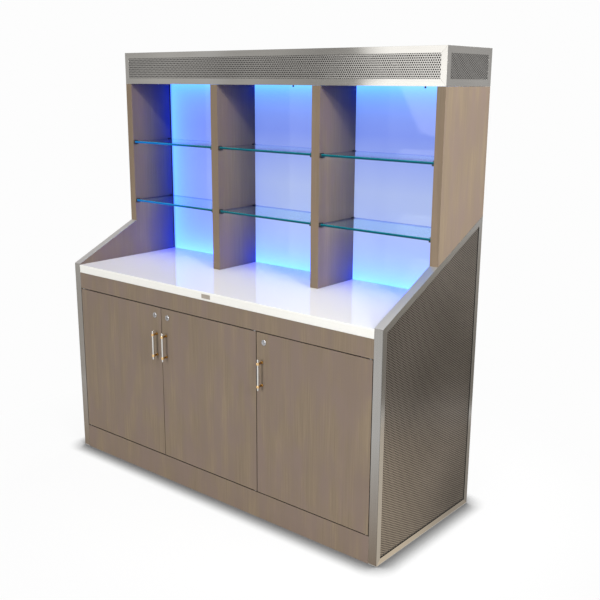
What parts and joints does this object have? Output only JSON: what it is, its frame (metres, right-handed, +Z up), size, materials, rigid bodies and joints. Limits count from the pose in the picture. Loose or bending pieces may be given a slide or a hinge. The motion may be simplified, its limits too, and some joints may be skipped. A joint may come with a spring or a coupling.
{
  "type": "back bar cabinet",
  "caption": "Free-standing back bar: veneered door base with a white counter, lit display bays with glass shelves, perforated steel sides and a grilled header.",
  "frame": {"origin": "on the floor, in the middle of the outer box with the door pulls included", "axes": "+Z up, the doors face -Y, +X to the right of a person who faces the doors"},
  "size_m": [1.778, 0.7178, 1.903],
  "materials": {
    "veneer": "satin grey-brown straight-grained veneer",
    "carcass_board": "matt board",
    "stainless": "brushed",
    "perforated_stainless": "perforated and brushed",
    "solid_surface": "polished white",
    "shelf_glass": "clear with polished green edges",
    "brass": "satin",
    "chrome": "bright",
    "steel": "plain",
    "lit_acrylic": "gloss, lit from behind",
    "aluminium": "mill",
    "black_plastic": "matt"
  },
  "bodies": {
    "cabinet": {"left_end_panel": "veneer", "right_end_panel": "veneer", "left_end_trim": "stainless", "right_end_trim": "stainless", "left_side_infill": "perforated_stainless", "right_side_infill": "perforated_stainless", "plinth_rail": "veneer", "apron_rail": "veneer", "plinth_stretcher": "carcass_board", "base_floor": "carcass_board", "base_partition": "carcass_board", "base_back": "carcass_board", "base_shelf_left": "carcass_board", "base_shelf_right": "carcass_board", "countertop": "solid_surface", "hutch_partition_left": "veneer", "hutch_partition_right": "veneer", "light_panel": "lit_acrylic", "led_frame": "aluminium", "hutch_back": "carcass_board", "glass_shelf_left_lower": "shelf_glass", "glass_shelf_left_upper": "shelf_glass", "glass_shelf_centre_lower": "shelf_glass", "glass_shelf_centre_upper": "shelf_glass", "glass_shelf_right_lower": "shelf_glass", "glass_shelf_right_upper": "shelf_glass", "header_front": "stainless", "header_end_left": "stainless", "header_end_right": "stainless", "header_lid": "stainless", "header_back": "stainless", "header_soffit": "veneer", "led_driver": "black_plastic"},
    "left_door": {"door_left": "veneer", "pivot_left_top": "steel", "pivot_left_bottom": "steel", "handle_bar_left": "stainless", "handle_post_left_upper": "brass", "handle_post_left_lower": "brass", "lock_housing_left": "chrome"},
    "left_lock": {"lock_plug_left": "chrome", "lock_cam_left": "steel"},
    "centre_door": {"door_centre": "veneer", "pivot_centre_top": "steel", "pivot_centre_bottom": "steel", "handle_bar_centre": "stainless", "handle_post_centre_upper": "brass", "handle_post_centre_lower": "brass", "lock_housing_centre": "chrome"},
    "centre_lock": {"lock_plug_centre": "chrome", "lock_cam_centre": "steel"},
    "right_door": {"door_right": "veneer", "pivot_right_top": "steel", "pivot_right_bottom": "steel", "handle_bar_right": "stainless", "handle_post_right_upper": "brass", "handle_post_right_lower": "brass", "lock_housing_right": "chrome"},
    "right_lock": {"lock_plug_right": "chrome", "lock_cam_right": "steel"}
  },
  "joints": [
    {"name": "left_door_swing", "type": "hinge", "parent": "cabinet", "child": "left_door", "pos_m": [-0.836, -0.32012, 0.4635], "axis": [0, 0, -1], "range_deg": [0, 110]},
    {"name": "centre_door_swing", "type": "hinge", "parent": "cabinet", "child": "centre_door", "pos_m": [0.26967, -0.32012, 0.4635], "axis": [0, 0, 1], "range_deg": [0, 110]},
    {"name": "right_door_swing", "type": "hinge", "parent": "cabinet", "child": "right_door", "pos_m": [0.836, -0.32012, 0.4635], "axis": [0, 0, 1], "range_deg": [0, 110]},
    {"name": "left_lock_turn", "type": "hinge", "parent": "left_door", "child": "left_lock", "pos_m": [-0.32367, -0.32712, 0.7705], "axis": [0, 1, 0], "range_deg": [0, 90]},
    {"name": "centre_lock_turn", "type": "hinge", "parent": "centre_door", "child": "centre_lock", "pos_m": [-0.24267, -0.32712, 0.7705], "axis": [0, -1, 0], "range_deg": [0, 90]},
    {"name": "right_lock_turn", "type": "hinge", "parent": "right_door", "child": "right_lock", "pos_m": [0.32367, -0.32712, 0.7705], "axis": [0, -1, 0], "range_deg": [0, 90]}
  ]
}
